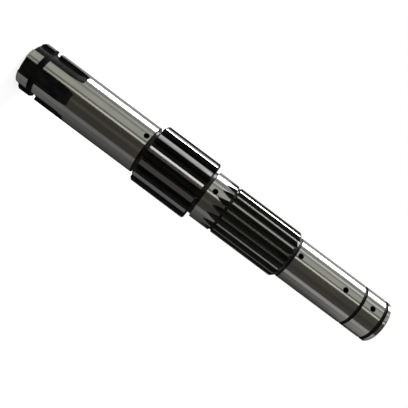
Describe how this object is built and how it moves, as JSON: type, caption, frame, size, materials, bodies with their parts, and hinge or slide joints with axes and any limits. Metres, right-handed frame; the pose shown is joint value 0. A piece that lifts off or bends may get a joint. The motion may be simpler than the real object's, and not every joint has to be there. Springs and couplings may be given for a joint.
{
  "type": "pinion shaft",
  "caption": "One-piece steel transmission shaft with a spur pinion, a splined section, a straight-sided splined end, ground bearing seats and radial oil holes.",
  "frame": {"origin": "centre of the end face of the six-spline end, on which the shaft stands", "axes": "+Z along the shaft's axis, from the six-spline end to the small bearing end; the oil holes open on the -Y side"},
  "size_m": [0.0432, 0.0429, 0.2809],
  "materials": {
    "ground_steel": "seats, lands and tooth tips ground bright, everything else black from heat treatment"
  },
  "bodies": {
    "root": {"pinion_shaft": "ground_steel"}
  },
  "joints": []
}
